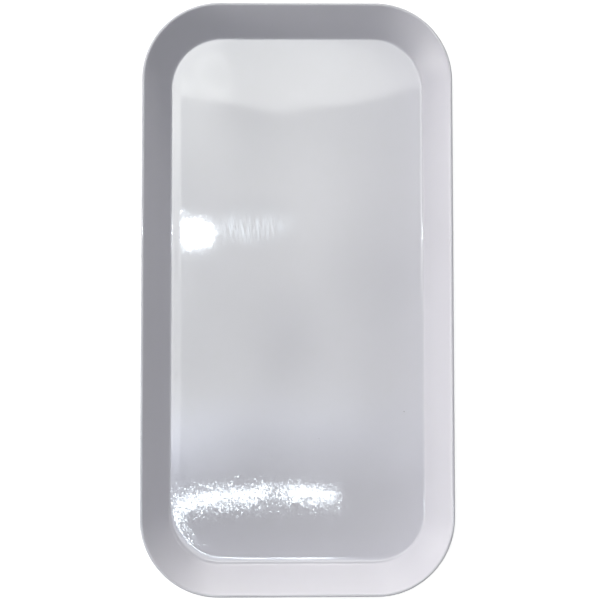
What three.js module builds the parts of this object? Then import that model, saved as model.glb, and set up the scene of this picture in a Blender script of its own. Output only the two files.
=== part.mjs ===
import * as THREE from "three";

// A shallow paint tray, moulded in one piece from glossy white plastic.
// Millimetres, +Z up. X runs across the tray and Y along it. The origin lies under the middle
// of the tray, on the surface that it stands on.

// Overall size, measured over the outer edge of the rim
const LENGTH = 380;
const WIDTH = 200;
const HEIGHT = 28;
const CORNER_RADIUS = 50;

// Shell: walls, floor and rounded rim share one thickness
const THICKNESS = 2.4;
const WALL_LEAN_DEGREES = 30; // from upright, so that trays nest and paint runs inwards
const COVE_RADIUS = 4.2; // where the inner wall turns into the floor

// Floor: a little higher in the middle than at its edge
const FLOOR_CROWN = 1;
const CROWN_POWER = 1.5; // how strongly the rise gathers towards the middle

// Foot: a low ridge that runs round under the edge of the floor
const FOOT_HEIGHT = 1.5;
const FOOT_WIDTH = 3;
const FOOT_SETBACK = 4; // from the start of the floor to the outer side of the foot
const FOOT_EDGE_RADIUS = 0.5;

// Moulding mark in the middle of the underside
const GATE_RADIUS = 3;
const GATE_DEPTH = 0.4;

// Facets
const CORNER_FACETS = 14;
const LONG_SIDE_FACETS = 12;
const SHORT_SIDE_FACETS = 5;
const COVE_FACETS = 6;
const RIM_FACETS = 8;
const FOOT_EDGE_FACETS = 2;
const PANEL_SHARES = [0.1, 0.22, 0.36, 0.5, 0.63, 0.75, 0.86, 0.94];

// Levels and insets. An inset is how far a line lies inside the outer edge of the rim.
const UNDERSIDE_LEVEL = FOOT_HEIGHT;
const FLOOR_LEVEL = UNDERSIDE_LEVEL + THICKNESS;
const LEAN = THREE.MathUtils.degToRad(WALL_LEAN_DEGREES);
const RIM_RADIUS = THICKNESS / 2;
const RIM_CENTRE = new THREE.Vector2(RIM_RADIUS, HEIGHT - RIM_RADIUS);
const COVE_CENTRE = coveCentre();
const FLOOR_INSET = COVE_CENTRE.x;
const FOOT_OUTER_INSET = FLOOR_INSET + FOOT_SETBACK;
const FOOT_INNER_INSET = FOOT_OUTER_INSET + FOOT_WIDTH;

// The cove touches the floor and the inner wall. The wall's middle line starts at the rim's centre.
function coveCentre() {
  const level = FLOOR_LEVEL + COVE_RADIUS;
  const drop = RIM_CENTRE.y - level;
  const run = (RIM_RADIUS + COVE_RADIUS + drop * Math.sin(LEAN)) / Math.cos(LEAN);
  return new THREE.Vector2(RIM_CENTRE.x + run, level);
}

// Points of an arc in the section plane, whose x is the inset and whose y is the height.
function arcPoints(centre, radius, fromAngle, toAngle, facets) {
  const clockwise = toAngle < fromAngle;
  const arc = new THREE.EllipseCurve(
    centre.x, centre.y, radius, radius, fromAngle, toAngle, clockwise,
  );
  return arc.getPoints(facets);
}

// Section of the shell from the floor, up the inner wall, over the rim and down to the underside.
// The straight walls are the lines that join these arcs.
function shellSection() {
  const floorAngle = 1.5 * Math.PI;
  const wallAngle = Math.PI + LEAN;
  return [
    ...arcPoints(COVE_CENTRE, COVE_RADIUS, floorAngle, wallAngle, COVE_FACETS),
    ...arcPoints(RIM_CENTRE, RIM_RADIUS, LEAN, wallAngle, RIM_FACETS),
    ...arcPoints(COVE_CENTRE, COVE_RADIUS + THICKNESS, wallAngle, floorAngle, COVE_FACETS),
  ];
}

// Section of the foot below the underside, from its outer side to its inner side.
function footSection() {
  const outer = new THREE.Vector2(FOOT_OUTER_INSET + FOOT_EDGE_RADIUS, FOOT_EDGE_RADIUS);
  const inner = new THREE.Vector2(FOOT_INNER_INSET - FOOT_EDGE_RADIUS, FOOT_EDGE_RADIUS);
  const down = 1.5 * Math.PI;
  return [
    ...arcPoints(outer, FOOT_EDGE_RADIUS, Math.PI, down, FOOT_EDGE_FACETS),
    ...arcPoints(inner, FOOT_EDGE_RADIUS, down, 2 * Math.PI, FOOT_EDGE_FACETS),
  ];
}

// The tray's outline in plan, drawn in by an inset: four arcs on the same centres at any inset,
// joined by straight sides that are cut into even steps. It runs anticlockwise.
function outline(inset) {
  const centreX = WIDTH / 2 - CORNER_RADIUS;
  const centreY = LENGTH / 2 - CORNER_RADIUS;
  const radius = CORNER_RADIUS - inset;
  const signs = [[1, 1], [-1, 1], [-1, -1], [1, -1]];
  const corners = signs.map(([signX, signY], quarter) => {
    const start = (quarter * Math.PI) / 2;
    const centre = new THREE.Vector2(signX * centreX, signY * centreY);
    return arcPoints(centre, radius, start, start + Math.PI / 2, CORNER_FACETS);
  });
  return corners.flatMap((corner, quarter) => {
    const next = corners[(quarter + 1) % corners.length];
    const side = new THREE.LineCurve(corner.at(-1), next[0]);
    const steps = quarter % 2 ? LONG_SIDE_FACETS : SHORT_SIDE_FACETS;
    return [...corner, ...side.getPoints(steps).slice(1, -1)];
  });
}

// Rise of the floor at a point in plan: full in the middle, fading to nothing at the floor's edge.
function crownAt(point) {
  const across = point.x / (WIDTH / 2 - FLOOR_INSET);
  const along = point.y / (LENGTH / 2 - FLOOR_INSET);
  const share = Math.max(1 - across ** 2, 0) * Math.max(1 - along ** 2, 0);
  return FLOOR_CROWN * share ** CROWN_POWER;
}

const flatRing = (points, level) => points.map((p) => new THREE.Vector3(p.x, p.y, level));

const crownedRing = (points, level) =>
  points.map((p) => new THREE.Vector3(p.x, p.y, level + crownAt(p)));

const scaledRing = (points, share) => points.map((p) => p.clone().multiplyScalar(share));

// Rings that fill the inside of an outline, from the middle outwards.
const panelRings = (edge, level) =>
  PANEL_SHARES.map((share) => crownedRing(scaledRing(edge, share), level));

// One closed surface through a list of rings of equal count, capped at both ends by a point.
function skin(firstPoint, rings, lastPoint) {
  const count = rings[0].length;
  const vertices = [firstPoint, ...rings.flat(), lastPoint];
  const last = vertices.length - 1;
  const indices = [];
  const vertex = (ring, step) => 1 + ring * count + (step % count);
  for (let step = 0; step < count; step += 1) {
    indices.push(0, vertex(0, step), vertex(0, step + 1));
    for (let ring = 0; ring + 1 < rings.length; ring += 1) {
      const near = vertex(ring, step);
      const nearNext = vertex(ring, step + 1);
      const far = vertex(ring + 1, step);
      const farNext = vertex(ring + 1, step + 1);
      indices.push(near, far, farNext, near, farNext, nearNext);
    }
    indices.push(last, vertex(rings.length - 1, step + 1), vertex(rings.length - 1, step));
  }
  const geometry = new THREE.BufferGeometry().setFromPoints(vertices);
  geometry.setIndex(indices);
  geometry.computeVertexNormals();
  return geometry;
}

// Underside inside the foot, from the foot inwards to the round moulding mark.
function undersideRings(footInner) {
  const level = UNDERSIDE_LEVEL + FLOOR_CROWN;
  const gate = footInner.map((p) => p.clone().setLength(GATE_RADIUS));
  return [
    crownedRing(footInner, UNDERSIDE_LEVEL),
    ...panelRings(footInner, UNDERSIDE_LEVEL).reverse(),
    flatRing(gate, level),
    flatRing(gate, level - GATE_DEPTH),
  ];
}

// The whole moulding, from the middle of the floor round the rim to the middle of the underside.
function trayGeometry() {
  const sweep = (section) => section.map((p) => flatRing(outline(p.x), p.y));
  const rings = [
    ...panelRings(outline(FLOOR_INSET), FLOOR_LEVEL),
    ...sweep(shellSection()),
    crownedRing(outline(FOOT_OUTER_INSET), UNDERSIDE_LEVEL),
    ...sweep(footSection()),
    ...undersideRings(outline(FOOT_INNER_INSET)),
  ];
  const floorMiddle = new THREE.Vector3(0, 0, FLOOR_LEVEL + FLOOR_CROWN);
  const gateMiddle = new THREE.Vector3(0, 0, UNDERSIDE_LEVEL + FLOOR_CROWN - GATE_DEPTH);
  return skin(floorMiddle, rings, gateMiddle);
}

function whitePlastic() {
  return new THREE.MeshStandardMaterial({ color: 0xe0e0e6, roughness: 0.16, metalness: 0 });
}

const tray = new THREE.Mesh(trayGeometry(), whitePlastic());
tray.name = "tray";

const paintTray = new THREE.Group();
paintTray.add(tray);

export default paintTray;
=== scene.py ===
import math

import bpy
import numpy as np
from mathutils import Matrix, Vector, noise


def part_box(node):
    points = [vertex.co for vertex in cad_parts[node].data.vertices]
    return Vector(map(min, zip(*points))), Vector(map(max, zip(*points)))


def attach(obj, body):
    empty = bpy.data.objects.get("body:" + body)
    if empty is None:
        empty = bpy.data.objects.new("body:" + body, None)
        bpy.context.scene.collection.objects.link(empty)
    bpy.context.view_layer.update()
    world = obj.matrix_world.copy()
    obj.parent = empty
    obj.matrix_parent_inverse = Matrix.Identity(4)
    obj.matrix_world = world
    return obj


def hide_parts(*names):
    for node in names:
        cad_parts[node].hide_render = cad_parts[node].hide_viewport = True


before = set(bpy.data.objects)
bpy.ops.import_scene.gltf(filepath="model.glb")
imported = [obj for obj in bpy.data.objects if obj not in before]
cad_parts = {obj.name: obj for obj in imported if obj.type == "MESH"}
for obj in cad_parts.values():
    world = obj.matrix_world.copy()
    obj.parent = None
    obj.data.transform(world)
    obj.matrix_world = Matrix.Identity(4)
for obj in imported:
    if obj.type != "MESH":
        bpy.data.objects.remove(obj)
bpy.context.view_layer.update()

TRAY_LOW, TRAY_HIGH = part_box("tray")

MM = 0.001

# Sizes of the moulding. The overall ones come from the frame.
HALF_WIDTH = (TRAY_HIGH.x - TRAY_LOW.x) / 2
HALF_LENGTH = (TRAY_HIGH.y - TRAY_LOW.y) / 2
HEIGHT = TRAY_HIGH.z
CORNER_RADIUS = 50 * MM
THICKNESS = 2.4 * MM
WALL_LEAN = math.radians(30)
FLOOR_CROWN = 1.0 * MM
CROWN_POWER = 1.5

# Inner radius of the shell's cove, which the outer wall follows, and radii of the tighter cove that
# is seen inside: along the sides and the far end, and at the near end
COVE_RADIUS = 4.2 * MM
SIDE_COVE_RADIUS = 1.7 * MM
END_COVE_RADIUS = 3.5 * MM

# Foot ridge and round gate mark of the underside
FOOT_HEIGHT = 1.5 * MM
FOOT_WIDTH = 3 * MM
FOOT_SETBACK = 4 * MM
FOOT_EDGE_RADIUS = 0.5 * MM
GATE_RADIUS = 3 * MM
GATE_DEPTH = 0.4 * MM
GATE_BOTTOM_SHARE = 0.96  # radius of the mark's bottom, as a share of its top
GATE_CLEAR_SHARE = 1.2  # how near the underside's rings come to the middle, in radii of the mark

# The floor's margin falls a little. A toe rises from it before the cove at the near end, a wider one
# in the near left corner, and a narrow, steeper lip at the far right.
MARGIN_WIDTH = 7 * MM
MARGIN_BLEND = 3 * MM
MARGIN_SLOPE = math.radians(1.1)
TOE_SLOPE = math.radians(4.3)
TOE_WIDTH = 2.6 * MM
TOE_POWER = 0.35
TOE_FADE = 2.0 * MM
TOE_FROM_Y, TOE_TO_Y = -125 * MM, -160 * MM
TOE_FROM_X, TOE_TO_X = 78 * MM, 50 * MM
LIP_SLOPE = math.radians(10.8)
LIP_WIDTH = 0.8 * MM
LIP_FROM_X, LIP_TO_X = 58 * MM, 72 * MM
LIP_FROM_Y, LIP_TO_Y = -20 * MM, 35 * MM
CORNER_TOE_SLOPE = math.radians(3.2)
CORNER_TOE_WIDTH = 13 * MM
CORNER_TOE_PLACE = (-72 * MM, -164 * MM)
CORNER_TOE_SPREAD = 24 * MM

# Slow unevenness of a moulded surface
WAVE_HEIGHT = 0.04 * MM
WAVE_LENGTH = 28 * MM

# Fineness of the mesh
CORNER_STEPS = 36
LONG_STEPS = 72
SHORT_STEPS = 26
FLOOR_RINGS = 72
FLOOR_RING_POWER = 1.6
UNDERSIDE_RINGS = 24
ARC_STEPS = 14
FOOT_EDGE_STEPS = 5
WALL_STEPS = 8

RIM_RADIUS = THICKNESS / 2
UNDERSIDE_LEVEL = FOOT_HEIGHT
FLOOR_LEVEL = UNDERSIDE_LEVEL + THICKNESS
RIM_CENTRE = (RIM_RADIUS, HEIGHT - RIM_RADIUS)

# Where arcs of the section start and end: straight down, and square to the wall
DOWN = 1.5 * math.pi
WALL_ANGLE = math.pi + WALL_LEAN


def cove_centre(radius):
    """Centre of the arc of a given radius that touches both the floor and the inner wall."""
    level = FLOOR_LEVEL + radius
    run = (RIM_RADIUS + radius + (RIM_CENTRE[1] - level) * math.sin(WALL_LEAN)) / math.cos(WALL_LEAN)
    return RIM_RADIUS + run, level


# An inset is how far a line lies inside the outer edge of the rim.
COVE_CENTRE = cove_centre(COVE_RADIUS)
FLOOR_INSET = cove_centre(SIDE_COVE_RADIUS)[0]
END_FLOOR_INSET = cove_centre(END_COVE_RADIUS)[0]
CROWN_INSET = COVE_CENTRE[0]
FOOT_OUTER_INSET = COVE_CENTRE[0] + FOOT_SETBACK
FOOT_INNER_INSET = FOOT_OUTER_INSET + FOOT_WIDTH


def arc(centre, radius, start, end, steps=ARC_STEPS):
    """Points of an arc in the section plane, as (inset, height)."""
    angles = np.linspace(start, end, steps + 1)
    x, y = centre
    return [(x + radius * math.cos(angle), y + radius * math.sin(angle)) for angle in angles]


def between(first, last, steps):
    """Inner points of the straight line between two section points."""
    run, climb = last[0] - first[0], last[1] - first[1]
    shares = np.linspace(0, 1, steps + 1)[1:-1]
    return [(first[0] + run * share, first[1] + climb * share) for share in shares]


def outline(inset):
    """The tray's outline in plan, drawn in by an inset, anticlockwise, as an array of x and y."""
    centre_x, centre_y = HALF_WIDTH - CORNER_RADIUS, HALF_LENGTH - CORNER_RADIUS
    radius = CORNER_RADIUS - inset
    corners = []
    for quarter, (sign_x, sign_y) in enumerate(((1, 1), (-1, 1), (-1, -1), (1, -1))):
        angles = np.linspace(0, math.pi / 2, CORNER_STEPS + 1) + quarter * math.pi / 2
        x = sign_x * centre_x + radius * np.cos(angles)
        y = sign_y * centre_y + radius * np.sin(angles)
        corners.append(np.column_stack((x, y)))
    points = []
    for quarter, corner in enumerate(corners):
        after = corners[(quarter + 1) % 4][0]
        steps = LONG_STEPS if quarter % 2 else SHORT_STEPS
        shares = np.linspace(0, 1, steps + 1)[1:-1, None]
        points += [corner, corner[-1] + (after - corner[-1]) * shares]
    return np.vstack(points)


def eased(value, low, high):
    """A smooth step of value, from 0 at low to 1 at high."""
    share = np.clip((value - low) / (high - low), 0, 1)
    return share**2 * (3 - 2 * share)


def end_share(points):
    """How much each point belongs to the near end, where the cove is wider and a toe leads up to it."""
    return eased(points[:, 1], TOE_FROM_Y, TOE_TO_Y) * eased(points[:, 0], TOE_FROM_X, TOE_TO_X)


def lip_share(points):
    """How much of the far right lip each point has."""
    return eased(points[:, 0], LIP_FROM_X, LIP_TO_X) * eased(points[:, 1], LIP_FROM_Y, LIP_TO_Y)


def corner_share(points):
    """How much of the near left corner's wide toe each point has."""
    away = np.linalg.norm(points - np.array(CORNER_TOE_PLACE), axis=1)
    return np.exp(-((away / CORNER_TOE_SPREAD) ** 2))


def floor_distance(points):
    """How far each point lies inside the edge of the floor."""
    inset = FLOOR_INSET + (END_FLOOR_INSET - FLOOR_INSET) * end_share(points)
    away = np.abs(points) - (np.array((HALF_WIDTH, HALF_LENGTH)) - CORNER_RADIUS)
    outside = np.linalg.norm(np.maximum(away, 0), axis=1)
    return CORNER_RADIUS - inset - outside - np.minimum(away.max(axis=1), 0)


def crown(points):
    """Rise of the floor and of the underside: full in the middle, fading out at the edge."""
    across = points[:, 0] / (HALF_WIDTH - CROWN_INSET)
    along = points[:, 1] / (HALF_LENGTH - CROWN_INSET)
    share = np.clip(1 - across**2, 0, 1) * np.clip(1 - along**2, 0, 1)
    return FLOOR_CROWN * share**CROWN_POWER


def margin_fall(distance):
    """How far the margin has fallen, by the distance inside the floor's edge."""
    inside = np.clip(MARGIN_WIDTH - distance, 0, None)
    blend = np.minimum(inside, MARGIN_BLEND)
    return math.tan(MARGIN_SLOPE) * (blend**2 / (2 * MARGIN_BLEND) + inside - blend)


def rise(distance, width, slope, power=1):
    """Height of a toe. Its slope grows, by a power of the way across it, to its full value at the edge."""
    inside = np.clip(1 - distance / width, 0, None)
    return inside ** (power + 1) * math.tan(slope) * width / (power + 1)


def toes(points):
    """The toes: how much of each the points have, its width, its slope at the edge and its power."""
    return (
        (end_share(points), TOE_WIDTH, TOE_SLOPE, TOE_POWER),
        (lip_share(points), LIP_WIDTH, LIP_SLOPE, TOE_POWER),
        (corner_share(points), CORNER_TOE_WIDTH, CORNER_TOE_SLOPE, 1),
    )


def toe_lift(points, distance):
    """How far the toes lift each point, by its distance inside the floor's edge."""
    lifts = [
        share * rise(distance, width, slope, power) for share, width, slope, power in toes(points)
    ]
    return sum(lifts)


def toe_climb(edge, run):
    """How much further the toes climb past the floor's edge, where their slope fades into the cove."""
    slope = sum(share * math.tan(angle) for share, _, angle, _ in toes(edge))
    left = 1 - min(run / TOE_FADE, 1)
    return slope * TOE_FADE / 3 * (1 - left**3)


def margin(points):
    """How far the floor's edge departs from its crown."""
    distance = np.maximum(floor_distance(points), 0)
    return toe_lift(points, distance) - margin_fall(distance)


def waves(points):
    """Height of the slow unevenness at each point."""
    return np.array([WAVE_HEIGHT * noise.noise(Vector((x, y, 0)) / WAVE_LENGTH) for x, y in points])


def ring(points, heights):
    """Points in plan with their heights, as an array of x, y and z."""
    return np.column_stack((points, np.broadcast_to(heights, len(points))))


def floor_ring(share, edge):
    """One ring of the floor, at a share of the way out to its edge."""
    points = edge * share
    return ring(points, FLOOR_LEVEL + crown(points) + margin(points) + waves(points))


def floor_edge():
    """The floor's edge, a little further in at the near end."""
    share = end_share(outline(FLOOR_INSET))[:, None]
    return outline(FLOOR_INSET) * (1 - share) + outline(END_FLOOR_INSET) * share


def wall_rings(edge, radius):
    """The cove, of a given radius, and the inner wall, lifted where the floor's edge is lifted."""
    edge_lift = margin(edge) + waves(edge)
    cove = arc(cove_centre(radius), radius, DOWN, WALL_ANGLE)
    rim_start = arc(RIM_CENTRE, RIM_RADIUS, WALL_LEAN, WALL_ANGLE)[0]
    section = cove[1:] + between(cove[-1], rim_start, WALL_STEPS)
    rings = []
    for inset, height in section:
        fade = (rim_start[1] - height) / (rim_start[1] - FLOOR_LEVEL)
        lift = edge_lift + toe_climb(edge, cove[0][0] - inset)
        rings.append(ring(outline(inset), height + lift * fade))
    return rings


def inner_rings(edge):
    """The cove and the inner wall, from the tight cove of the sides to the wider one of the near end."""
    share = end_share(outline(FLOOR_INSET))[:, None]
    pairs = zip(wall_rings(edge, SIDE_COVE_RADIUS), wall_rings(edge, END_COVE_RADIUS))
    return [side * (1 - share) + end * share for side, end in pairs]


def outer_rings():
    """The rim, the outer wall, the outer cove and the foot, all level."""
    rim = arc(RIM_CENTRE, RIM_RADIUS, WALL_LEAN, WALL_ANGLE)
    cove = arc(COVE_CENTRE, COVE_RADIUS + THICKNESS, WALL_ANGLE, DOWN)
    foot_outer = (FOOT_OUTER_INSET + FOOT_EDGE_RADIUS, FOOT_EDGE_RADIUS)
    foot_inner = (FOOT_INNER_INSET - FOOT_EDGE_RADIUS, FOOT_EDGE_RADIUS)
    foot = arc(foot_outer, FOOT_EDGE_RADIUS, math.pi, DOWN, FOOT_EDGE_STEPS)
    foot += arc(foot_inner, FOOT_EDGE_RADIUS, DOWN, 2 * math.pi, FOOT_EDGE_STEPS)
    section = rim + between(rim[-1], cove[0], WALL_STEPS) + cove
    section += [(FOOT_OUTER_INSET, UNDERSIDE_LEVEL)] + foot + [(FOOT_INNER_INSET, UNDERSIDE_LEVEL)]
    return [ring(outline(inset), height) for inset, height in section]


def underside_rings():
    """The underside inside the foot, from the foot inwards to the gate mark."""
    edge = outline(FOOT_INNER_INSET)
    shares = np.linspace(1, 0, UNDERSIDE_RINGS + 1)[1:-1]
    panel = [ring(edge * share, UNDERSIDE_LEVEL + crown(edge * share)) for share in shares]
    clear = GATE_RADIUS * GATE_CLEAR_SHARE
    panel = [points for points in panel if np.linalg.norm(points[:, :2], axis=1).min() > clear]
    gate = edge * (GATE_RADIUS / np.linalg.norm(edge, axis=1))[:, None]
    level = UNDERSIDE_LEVEL + FLOOR_CROWN
    return panel + [ring(gate, level), ring(gate * GATE_BOTTOM_SHARE, level - GATE_DEPTH)]


def skin(name, first, rings, last):
    """One closed mesh through rings of equal count, with a point at each end."""
    count = len(rings[0])
    vertices = [first, *np.vstack(rings), last]
    here = np.arange(count)
    after = (here + 1) % count
    steps = list(zip(here, after))
    faces = [(0, 1 + a, 1 + b) for a, b in steps]
    for row in range(len(rings) - 1):
        near, far = 1 + row * count, 1 + (row + 1) * count
        faces += [(near + a, far + a, far + b, near + b) for a, b in steps]
    end, near = len(vertices) - 1, 1 + (len(rings) - 1) * count
    faces += [(end, near + b, near + a) for a, b in steps]
    mesh = bpy.data.meshes.new(name)
    points = [tuple(map(float, vertex)) for vertex in vertices]
    mesh.from_pydata(points, [], [tuple(map(int, face)) for face in faces])
    mesh.validate()
    mesh.polygons.foreach_set("use_smooth", [True] * len(mesh.polygons))
    piece = bpy.data.objects.new(name, mesh)
    bpy.context.scene.collection.objects.link(piece)
    return piece


def make_tray():
    edge = floor_edge()
    shares = 1 - (1 - np.linspace(0, 1, FLOOR_RINGS + 1)[1:]) ** FLOOR_RING_POWER
    rings = [floor_ring(share, edge) for share in shares]
    rings += inner_rings(edge) + outer_rings() + underside_rings()
    middle = np.zeros((1, 2))
    first = (0, 0, FLOOR_LEVEL + FLOOR_CROWN + waves(middle)[0])
    last = (0, 0, UNDERSIDE_LEVEL + FLOOR_CROWN - GATE_DEPTH)
    return skin("tray_moulding", first, rings, last)


class Nodes:
    """Short calls for building a node tree."""

    def __init__(self, owner):
        owner.use_nodes = True
        self.tree = owner.node_tree
        self.tree.nodes.clear()

    def add(self, kind, inputs=None, **settings):
        node = self.tree.nodes.new(kind)
        for key, value in settings.items():
            setattr(node, key, value)
        for key, value in (inputs or {}).items():
            self.put(node.inputs[key], value)
        return node

    def put(self, socket, value):
        if isinstance(value, bpy.types.NodeSocket):
            self.tree.links.new(value, socket)
        else:
            socket.default_value = value

    def math(self, operation, first, second=0.0):
        return self.add("ShaderNodeMath", {0: first, 1: second}, operation=operation).outputs[0]

    def plus(self, *values):
        total = values[0]
        for value in values[1:]:
            total = self.math("ADD", total, value)
        return total

    def times(self, *values):
        total = values[0]
        for value in values[1:]:
            total = self.math("MULTIPLY", total, value)
        return total

    def ramp(self, value, low, high, start=0.0, end=1.0):
        """A smooth step of value, from start at low to end at high."""
        inputs = {"Value": value, "From Min": low, "From Max": high, "To Min": start, "To Max": end}
        return self.add("ShaderNodeMapRange", inputs, interpolation_type="SMOOTHSTEP").outputs[0]

    def noise(self, vector, scale, detail=2.0, distortion=0.0):
        inputs = {"Vector": vector, "Scale": scale, "Detail": detail, "Distortion": distortion}
        return self.add("ShaderNodeTexNoise", inputs).outputs["Fac"]

    def mapped(self, vector, scale=(1, 1, 1), turn=0.0):
        inputs = {"Vector": vector, "Scale": scale, "Rotation": (0, 0, turn)}
        return self.add("ShaderNodeMapping", inputs).outputs[0]

    def vector(self, operation, first, second=(0.0, 0.0, 0.0)):
        node = self.add("ShaderNodeVectorMath", {0: first, 1: second}, operation=operation)
        return node.outputs["Vector"]

    def distance(self, vector, place):
        node = self.add("ShaderNodeVectorMath", {0: vector, 1: place}, operation="DISTANCE")
        return node.outputs["Value"]

    def scaled(self, vector, amount):
        node = self.add("ShaderNodeVectorMath", {0: vector, "Scale": amount}, operation="SCALE")
        return node.outputs["Vector"]

    def voronoi(self, place, size):
        return self.add("ShaderNodeTexVoronoi", {"Vector": place, "Scale": 1 / size, "Randomness": 1.0})

    def channel(self, colour, index):
        return self.add("ShaderNodeSeparateColor", {0: colour}).outputs[index]

    def cells(self, place, size):
        """Small cells: a random sidewise vector and a random share, each the same all over a cell."""
        colour = self.voronoi(place, size).outputs["Color"]
        aside = self.vector("SUBTRACT", colour, (0.5, 0.5, 0.5))
        return aside, self.channel(colour, 2)

    def tilted(self, normal, aside, amount):
        """A normal moved across the tray and along it by a sidewise vector, times an amount."""
        level_aside = self.vector("MULTIPLY", aside, (1, 1, 0))
        moved = self.vector("ADD", normal, self.scaled(level_aside, amount))
        return self.vector("NORMALIZE", moved)

    def mix(self, share, first, second):
        """A blend of two colours. The sockets of a Mix node for colours are 0, 6, 7 and 2."""
        node = self.add("ShaderNodeMix", data_type="RGBA")
        self.put(node.inputs[0], share)
        self.put(node.inputs[6], first)
        self.put(node.inputs[7], second)
        return node.outputs[2]


# Colours of the plastic, and the patterns in them. Scales are in features per metre, and a range is
# where a ramp from 0 to 1 starts and ends.
PALE_COLOUR = (0.730, 0.717, 0.782, 1)
DUSKY_COLOUR = (0.700, 0.687, 0.750, 1)
GRAIN_COLOUR = (0.69, 0.69, 0.71, 1)
DUST_COLOUR = (0.16, 0.14, 0.13, 1)
CLOUD_SCALE = 9.0
CLOUD_RANGE = (0.3, 0.7)
GRAIN_SCALE = 160.0
GRAIN_RANGE = (0.45, 0.75)
GRAIN_SHARE = 0.12
DUST_SHARE = 0.75

# Specks: the distance between the places where one can be, the chance that one is there, its radius
DUST_SPECKS = (14 * MM, 0.06, 0.45 * MM)
RAISED_SPECKS = (11 * MM, 0.10, 0.6 * MM)
SPECK_CORE_SHARE = 0.3  # full strength out to this share of a speck's radius

# Scratches are small cells stretched along the tray, slightly turned. The scuffed patch that they lie
# in is wider than it is long.
SCRATCH_TURN = -0.12
ACROSS_SCRATCHES = (1.0, 0.12, 0.0)
LINE_SCALE = (900.0, 36.0, 300.0)
STREAK_SCALE = (1500.0, 44.0, 300.0)
SCRATCH_SIZE = 0.2 * MM
SCRATCH_STRETCH = (1.0, 0.03, 1.0)
SCUFF_SQUEEZE = 1.7
SCUFF_PLACE = (-29 * MM, 51 * MM * SCUFF_SQUEEZE, FLOOR_LEVEL)

# How rough the plastic is
SMEAR_SCALE = 30.0
SCRATCH_ROUGHNESS = 0.16
INDEX_OF_REFRACTION = 1.57

# Orange peel and stipple are strongest in the near left corner. The stipple is strong at a spot on
# the left as well.
PEEL_PLACE = (-80 * MM, -160 * MM, FLOOR_LEVEL)
ROUGH_SPOT_PLACE = (-76 * MM, 52 * MM, FLOOR_LEVEL)
PEEL_SCALE = 180.0
STIPPLE_SIZE = 0.8 * MM
STIPPLE_TILT = 0.022

# Heights of the fine relief, in microns
MICRON = 0.001 * MM
PEEL_HEIGHT = 18.0
LINE_HEIGHT = 0.6
SPECK_HEIGHT = 60.0

# Ramps of the plastic: from, to, value there and before, value there and after
SCUFF_FADE = (16 * MM, 38 * MM, 1.0, 0.0)
STREAK_SHARE = (0.40, 0.62, 0.2, 0.8)
SMEAR_ROUGHNESS = (0.35, 0.75, 0.03, 0.05)
PEEL_FADE = (90 * MM, 330 * MM, 1.0, 0.12)
ROUGH_SPOT_FADE = (10 * MM, 34 * MM, 0.75, 0.0)


def specks(nodes, place, spacing, chance, radius):
    """Round dots of a given radius, in a few of the cells of a grid of points."""
    cell = nodes.voronoi(place, spacing)
    pick = nodes.channel(cell.outputs["Color"], 0)
    core, edge = SPECK_CORE_SHARE * radius / spacing, radius / spacing
    inside = nodes.ramp(cell.outputs["Distance"], core, edge, 1.0, 0.0)
    return nodes.times(inside, nodes.math("LESS_THAN", pick, chance))


def plastic_colour(nodes, place):
    """Pale and dusky clouds, a fine grey grain and a few dark specks of dust."""
    clouds = nodes.ramp(nodes.noise(place, CLOUD_SCALE, detail=3.0), *CLOUD_RANGE)
    grain = nodes.ramp(nodes.noise(place, GRAIN_SCALE, detail=4.0), *GRAIN_RANGE)
    dust = specks(nodes, place, *DUST_SPECKS)
    colour = nodes.mix(clouds, DUSKY_COLOUR, PALE_COLOUR)
    colour = nodes.mix(nodes.times(grain, GRAIN_SHARE), colour, GRAIN_COLOUR)
    return nodes.mix(nodes.times(dust, DUST_SHARE), colour, DUST_COLOUR)


def scratches(nodes, place, turned):
    """1 in the scratches of the scuffed patch, which gather in streaks, and 0 elsewhere."""
    squeezed = nodes.mapped(place, scale=(1, SCUFF_SQUEEZE, 1))
    scuff = nodes.ramp(nodes.distance(squeezed, SCUFF_PLACE), *SCUFF_FADE)
    streaks = nodes.noise(nodes.mapped(turned, scale=STREAK_SCALE), 1.0, detail=1.0)
    scuff = nodes.times(scuff, nodes.ramp(streaks, *STREAK_SHARE))
    _, pick = nodes.cells(nodes.mapped(turned, scale=SCRATCH_STRETCH), SCRATCH_SIZE)
    return nodes.math("LESS_THAN", pick, scuff)


def plastic_roughness(nodes, place, scratched):
    """Smeared gloss, duller in the scratches."""
    smears = nodes.noise(place, SMEAR_SCALE, detail=3.0, distortion=0.6)
    dull = nodes.times(scratched, SCRATCH_ROUGHNESS)
    return nodes.plus(nodes.ramp(smears, *SMEAR_ROUGHNESS), dull)


def plastic_relief(nodes, place, turned):
    """Normal of the plastic, with stipple, orange peel, fine lines and raised specks."""
    peel = nodes.ramp(nodes.distance(place, PEEL_PLACE), *PEEL_FADE)
    broad = nodes.noise(place, PEEL_SCALE, detail=1.0)
    lines = nodes.noise(nodes.mapped(turned, scale=LINE_SCALE), 1.0, detail=1.0)
    height = nodes.plus(nodes.times(broad, peel, PEEL_HEIGHT), nodes.times(lines, LINE_HEIGHT))
    raised = specks(nodes, place, *RAISED_SPECKS)
    height = nodes.plus(height, nodes.times(raised, SPECK_HEIGHT))

    rough_spot = nodes.ramp(nodes.distance(place, ROUGH_SPOT_PLACE), *ROUGH_SPOT_FADE)
    stipple = nodes.math("MAXIMUM", peel, rough_spot)
    level = nodes.add("ShaderNodeNewGeometry").outputs["Normal"]
    aside, share = nodes.cells(place, STIPPLE_SIZE)
    stippled = nodes.tilted(level, aside, nodes.times(stipple, share, STIPPLE_TILT))
    inputs = {"Height": height, "Strength": 1.0, "Distance": MICRON, "Normal": stippled}
    return nodes.add("ShaderNodeBump", inputs).outputs[0]


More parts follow.
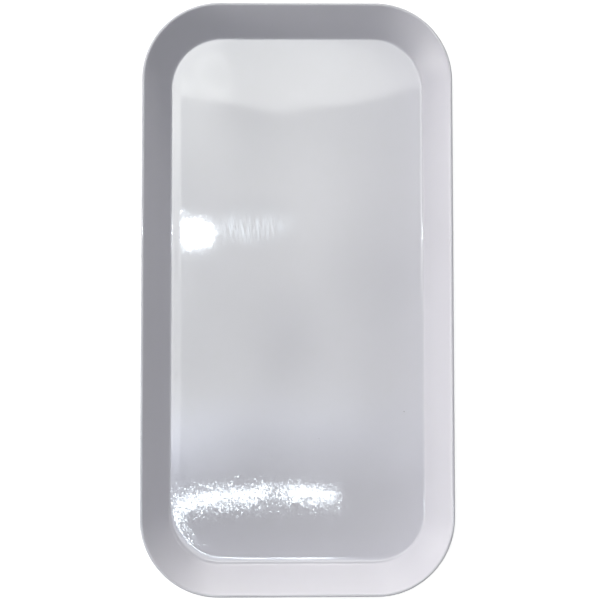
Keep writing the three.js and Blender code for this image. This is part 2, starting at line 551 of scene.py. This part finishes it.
def tray_plastic():
    """Glossy white moulded plastic: clouds, orange peel, fine lines, a scuffed patch, dust specks."""
    material = bpy.data.materials.new("tray_plastic")
    nodes = Nodes(material)
    place = nodes.add("ShaderNodeTexCoord").outputs["Object"]
    turned = nodes.mapped(place, turn=SCRATCH_TURN)
    scratched = scratches(nodes, place, turned)
    tangent = nodes.add("ShaderNodeCombineXYZ", dict(enumerate(ACROSS_SCRATCHES))).outputs[0]
    shader = nodes.add("ShaderNodeBsdfPrincipled", {
        "Base Color": plastic_colour(nodes, place),
        "Roughness": plastic_roughness(nodes, place, scratched),
        "Anisotropic": scratched,
        "IOR": INDEX_OF_REFRACTION,
        "Normal": plastic_relief(nodes, place, turned),
        "Tangent": tangent,
    })
    nodes.add("ShaderNodeOutputMaterial", {"Surface": shader.outputs[0]})
    return material


# Studio floor, and the white that the camera sees round the tray
STUDIO_REACH = 6.0
STUDIO_DROP = 0.1 * MM
STUDIO_GREY = (0.6, 0.6, 0.6, 1)
STUDIO_GLOW = 0.72
WHITE = (1, 1, 1, 1)


def studio_finish():
    """Plain pale floor. The camera sees it as white, and it keeps the tray's shadow."""
    material = bpy.data.materials.new("studio_floor")
    nodes = Nodes(material)
    rays = nodes.add("ShaderNodeLightPath").outputs
    mirrored = nodes.math("MAXIMUM", rays["Is Glossy Ray"], rays["Is Transmission Ray"])
    seen = nodes.math("MAXIMUM", rays["Is Camera Ray"], mirrored)
    matt = nodes.add("ShaderNodeBsdfDiffuse", {"Color": STUDIO_GREY})
    strength = nodes.times(seen, STUDIO_GLOW)
    glow = nodes.add("ShaderNodeEmission", {"Color": WHITE, "Strength": strength})
    both = nodes.add("ShaderNodeAddShader", {0: matt.outputs[0], 1: glow.outputs[0]})
    nodes.add("ShaderNodeOutputMaterial", {"Surface": both.outputs[0]})
    return material


def make_floor():
    mesh = bpy.data.meshes.new("studio_floor")
    reach = STUDIO_REACH
    corners = [(-reach, -reach, 0), (reach, -reach, 0), (reach, reach, 0), (-reach, reach, 0)]
    mesh.from_pydata(corners, [], [(0, 1, 2, 3)])
    floor = bpy.data.objects.new("studio_floor", mesh)
    floor.location.z = -STUDIO_DROP
    bpy.context.scene.collection.objects.link(floor)
    mesh.materials.append(studio_finish())


# The bright zone overhead. A direction is given by its x, across, and its y, along, at a height of
# one. A ramp holds: from, to, value there and before, value there and after. The last two are 0 and
# 1 where it doesn't say. The zone has a middle and, past an edge, a brighter part beyond it.
ZONE_EDGE = 0.2589
ZONE_TURN = 0.017
ZONE_EDGE_FADE = 0.002
ZONE_LEFT = (-0.20, -0.17)
ZONE_RIGHT = (0.19, 0.22, 1.0, 0.0)
ZONE_NEAR = (-0.19, -0.09)
ZONE_FAR = (0.36, 0.39, 1.0, 0.0)

# The whole zone is brighter on the left, most so at its two ends, and dimmer on the right.
LEFT_SHARE = (-0.13, -0.05, 1.0, 0.0)
LEFT_GAIN = 0.2
LEFT_FAR_GAIN = (0.13, 0.27, 0.0, 2.6)
LEFT_NEAR_GAIN = (-0.13, -0.03, 2.0, 0.0)
RIGHT_GAIN = (0.02, 0.17, 0.0, -2.2)

# The middle has a dimmer near part, a dip and a brighter left edge.
MIDDLE_RADIANCE = 4.72
NEAR_GAIN = (0.04, 0.17, -1.0, 0.0)
DIP_PLACE = (0.0, -0.02, 0)
DIP_GAIN = (0.0, 0.10, -1.7, 0.0)
LEFT_EDGE_GAIN = (-0.146, -0.134, 2.4, 0.0)

# Beyond the edge there are a blob and a ring at the left, a dimmer left side and a dimmer corner.
BEYOND_RADIANCE = 7.35
BLOB_PLACE = (-0.119, 0.271, 0)
BLOB_GAIN = (0.0, 0.016, 3.0, 0.0)
RING_PLACE = (-0.084, 0.285, 0)
RING_INNER_EDGE = (0.011, 0.016)
RING_OUTER_EDGE = (0.018, 0.024, 1.0, 0.0)
RING_GAIN = (-0.080, -0.055, 1.6, 0.0)
BEYOND_LEFT_GAIN = (-0.125, -0.080, -1.1, 0.0)
CORNER_SLANT = 0.68
CORNER_GAIN = (0.303, 0.309, 0.0, -0.9)

# A narrow window to the left of the zone
WINDOW_RADIANCE = 9.0
WINDOW_LEFT = (-0.31, -0.28)
WINDOW_RIGHT = (-0.26, -0.23, 1.0, 0.0)
WINDOW_NEAR = (-0.30, -0.10)
WINDOW_FAR = (0.30, 0.40, 1.0, 0.0)

# Soft light from the sides. A patch has an angle in plan, anticlockwise from +X, its lowest and highest
# sine of the height above the horizon, and its radiance.
SIDE_PATCHES = (
    (math.radians(92), 0.06, 0.30, 5.5),
    (math.radians(179), 0.06, 0.30, 6.75),
    (math.radians(138), 0.30, 0.62, 2.15),
    (math.radians(225), 0.06, 0.30, 0.5),
    (math.radians(315), 0.06, 0.30, 0.3),
    (math.radians(66), 0.06, 0.30, 0.95),
)
PATCH_SPREAD = math.radians(48)
PATCH_LOW_FADE = 0.03
PATCH_HIGH_FADE = 0.04
AMBIENT_RADIANCE = 0.02

# The light from overhead starts between these sines of the height above the horizon.
OVERHEAD_START = (0.6, 0.7)

# Least height to divide by, and least square of a direction's level part
LOWEST_UP = 0.001
LEAST_FLAT_SQUARE = 0.0001

# Tints of the light. The zone's near part is bluer.
ZONE_COLOUR = (0.985, 1.0, 0.965, 1)
LOW_ZONE_COLOUR = (0.93, 0.985, 1.12, 1)
LOW_ZONE_FADE = (-0.14, -0.04)
SIDE_COLOUR = (1.0, 0.985, 0.945, 1)


def zone_shares(nodes, across, along):
    """How much of the zone's middle, and of its part beyond the edge, each direction has."""
    edge = nodes.plus(nodes.times(across, ZONE_TURN), ZONE_EDGE)
    past_edge = nodes.math("SUBTRACT", along, edge)
    beyond = nodes.ramp(past_edge, -ZONE_EDGE_FADE, ZONE_EDGE_FADE)
    inside = nodes.times(nodes.ramp(along, *ZONE_NEAR), nodes.math("SUBTRACT", 1.0, beyond))
    return inside, nodes.times(beyond, nodes.ramp(along, *ZONE_FAR))


def sidewise_gain(nodes, across, along):
    """What the whole zone gains on its left and loses on its right."""
    far, near = nodes.ramp(along, *LEFT_FAR_GAIN), nodes.ramp(along, *LEFT_NEAR_GAIN)
    left = nodes.times(nodes.ramp(across, *LEFT_SHARE), nodes.plus(far, near, LEFT_GAIN))
    return nodes.plus(nodes.ramp(across, *RIGHT_GAIN), left)


def middle_radiance(nodes, across, along, spot):
    """Radiance of the zone's middle, with its dimmer near part, its dip and its brighter left edge."""
    middle = nodes.plus(nodes.ramp(along, *NEAR_GAIN), MIDDLE_RADIANCE)
    middle = nodes.plus(middle, nodes.ramp(nodes.distance(spot, DIP_PLACE), *DIP_GAIN))
    return nodes.plus(middle, nodes.ramp(across, *LEFT_EDGE_GAIN))


def beyond_gain(nodes, across, along, spot):
    """What the part beyond the edge gains at its blob and ring, and loses on its left and in a corner."""
    blob = nodes.ramp(nodes.distance(spot, BLOB_PLACE), *BLOB_GAIN)
    from_ring = nodes.distance(spot, RING_PLACE)
    halo = nodes.times(nodes.ramp(from_ring, *RING_INNER_EDGE), nodes.ramp(from_ring, *RING_OUTER_EDGE))
    halo = nodes.times(halo, nodes.ramp(across, *RING_GAIN))
    slanting = nodes.plus(across, nodes.times(along, CORNER_SLANT))
    corner = nodes.ramp(slanting, *CORNER_GAIN)
    return nodes.plus(blob, halo, corner, nodes.ramp(across, *BEYOND_LEFT_GAIN))


def window_light(nodes, across, along):
    """The narrow window to the left of the zone."""
    left, right = nodes.ramp(across, *WINDOW_LEFT), nodes.ramp(across, *WINDOW_RIGHT)
    near, far = nodes.ramp(along, *WINDOW_NEAR), nodes.ramp(along, *WINDOW_FAR)
    return nodes.times(left, right, WINDOW_RADIANCE, near, far)


def overhead_light(nodes, across, along):
    """The bright zone overhead and the window beside it."""
    spot = nodes.add("ShaderNodeCombineXYZ", {0: across, 1: along}).outputs[0]
    inside, beyond = zone_shares(nodes, across, along)
    middle_light = nodes.times(inside, middle_radiance(nodes, across, along, spot))
    light = nodes.plus(middle_light, nodes.times(beyond, BEYOND_RADIANCE))
    whole = nodes.plus(inside, beyond)
    light = nodes.plus(light, nodes.times(whole, sidewise_gain(nodes, across, along)))
    light = nodes.plus(light, nodes.times(beyond_gain(nodes, across, along, spot), beyond))
    sides = nodes.times(nodes.ramp(across, *ZONE_LEFT), nodes.ramp(across, *ZONE_RIGHT))
    return nodes.plus(nodes.times(light, sides), window_light(nodes, across, along))


def side_light(nodes, way):
    """Soft light from the sides, which shades the walls."""
    flat_square = nodes.math("SUBTRACT", 1.0, nodes.times(way["Z"], way["Z"]))
    flat = nodes.math("SQRT", nodes.math("MAXIMUM", flat_square, LEAST_FLAT_SQUARE))
    light = AMBIENT_RADIANCE
    for angle, low, high, radiance in SIDE_PATCHES:
        towards_x = nodes.times(way["X"], math.cos(angle))
        facing = nodes.plus(towards_x, nodes.times(way["Y"], math.sin(angle)))
        facing = nodes.math("MINIMUM", nodes.math("DIVIDE", facing, flat), 1.0)
        aside = nodes.math("ARCCOSINE", nodes.math("MAXIMUM", facing, -1.0))
        above = nodes.ramp(way["Z"], low - PATCH_LOW_FADE, low + PATCH_LOW_FADE)
        below = nodes.ramp(way["Z"], high - PATCH_HIGH_FADE, high + PATCH_HIGH_FADE, 1.0, 0.0)
        patch = nodes.ramp(aside, 0.0, PATCH_SPREAD, radiance, 0.0)
        light = nodes.plus(light, nodes.times(above, below, patch))
    return light


def make_world():
    """Soft room light. The camera sees white, and so do low reflections where the room is darker."""
    world = bpy.data.worlds.new("studio_world")
    bpy.context.scene.world = world
    nodes = Nodes(world)
    generated = nodes.add("ShaderNodeTexCoord").outputs["Generated"]
    way = nodes.add("ShaderNodeSeparateXYZ", {0: generated}).outputs
    up = nodes.math("MAXIMUM", way["Z"], LOWEST_UP)
    along = nodes.math("DIVIDE", way["Y"], up)
    across = nodes.math("DIVIDE", way["X"], up)
    overhead = nodes.ramp(way["Z"], *OVERHEAD_START)
    light = nodes.times(overhead_light(nodes, across, along), overhead)
    light = nodes.plus(light, side_light(nodes, way))

    rays = nodes.add("ShaderNodeLightPath").outputs
    camera = rays["Is Camera Ray"]
    mirrored = nodes.math("MAXIMUM", rays["Is Glossy Ray"], rays["Is Transmission Ray"])
    mirrored = nodes.times(mirrored, nodes.ramp(way["Z"], *OVERHEAD_START, 1.0, 0.0))
    light = nodes.math("MAXIMUM", light, mirrored)
    light = nodes.times(light, nodes.math("SUBTRACT", 1.0, camera))
    tint = nodes.mix(nodes.ramp(along, *LOW_ZONE_FADE), LOW_ZONE_COLOUR, ZONE_COLOUR)
    tint = nodes.mix(overhead, SIDE_COLOUR, tint)
    tint = nodes.mix(camera, tint, WHITE)
    inputs = {"Color": tint, "Strength": nodes.plus(light, camera)}
    room = nodes.add("ShaderNodeBackground", inputs)
    nodes.add("ShaderNodeOutputWorld", {"Surface": room.outputs[0]})


# Small lamps that the glossy floor mirrors: a strip in three parts with a glow round it, and a round
# lamp with a bright core and a glow. Each has a name, a place in plan, a size, the radiance that its
# mirror image shows, a shape and a turn.
LAMP_HEIGHT = 1.5
LAMP_COLOUR = (0.84, 0.94, 1.0)
LAMPS = (
    ("strip_left", (-0.298, -0.396), (0.104, 0.032), 22, "RECTANGLE", -0.12),
    ("strip_long", (-0.154, -0.402), (0.186, 0.032), 22, "RECTANGLE", -0.03),
    ("strip_short", (0.037, -0.408), (0.158, 0.038), 22, "ELLIPSE", 0.0),
    ("strip_glow_long", (-0.200, -0.402), (0.310, 0.058), 3, "RECTANGLE", -0.03),
    ("strip_glow_short", (0.040, -0.409), (0.160, 0.060), 3, "RECTANGLE", 0.0),
    ("round_core", (-0.262, 0.209), (0.056, 0.042), 220, "ELLIPSE", 0.3),
    ("round_lamp", (-0.266, 0.209), (0.092, 0.062), 14, "ELLIPSE", 0.3),
    ("round_glow", (-0.266, 0.209), (0.106, 0.076), 3, "ELLIPSE", 0.3),
)


def make_lamp(name, place, size, radiance, shape, turn):
    """A lamp that faces down and that only reflections show."""
    data = bpy.data.lights.new(name, "AREA")
    data.shape = shape
    data.size, data.size_y = size
    data.color = LAMP_COLOUR
    area = size[0] * size[1] * (math.pi / 4 if shape == "ELLIPSE" else 1)
    data.energy = radiance * area * math.pi
    lamp = bpy.data.objects.new(name, data)
    lamp.location = (*place, LAMP_HEIGHT)
    lamp.rotation_euler.z = turn
    lamp.visible_camera = False
    bpy.context.scene.collection.objects.link(lamp)


# Camera, as the photograph was taken, in its frame of 600 by 600 pixels
FRAME_PIXELS = 600
FOCAL_PIXELS = 941
SENSOR_WIDTH = 36
CAMERA_ABOVE_RIM = 600.8 * MM
CAMERA_PLACE = Vector((-5.9 * MM, -24.3 * MM, HEIGHT - RIM_RADIUS + CAMERA_ABOVE_RIM))
CAMERA_TURN_DEGREES = (2.12, -0.71, -0.04)


def make_camera():
    data = bpy.data.cameras.new("camera")
    data.sensor_width = SENSOR_WIDTH
    data.lens = FOCAL_PIXELS / FRAME_PIXELS * SENSOR_WIDTH
    camera = bpy.data.objects.new("camera", data)
    camera.location = CAMERA_PLACE
    camera.rotation_euler = [math.radians(angle) for angle in CAMERA_TURN_DEGREES]
    bpy.context.scene.collection.objects.link(camera)
    bpy.context.scene.camera = camera


bpy.context.scene.view_settings.view_transform = "Standard"
make_camera()
make_world()
for lamp_values in LAMPS:
    make_lamp(*lamp_values)
make_floor()

tray = make_tray()
tray.data.materials.append(tray_plastic())
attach(tray, "root")
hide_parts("tray")
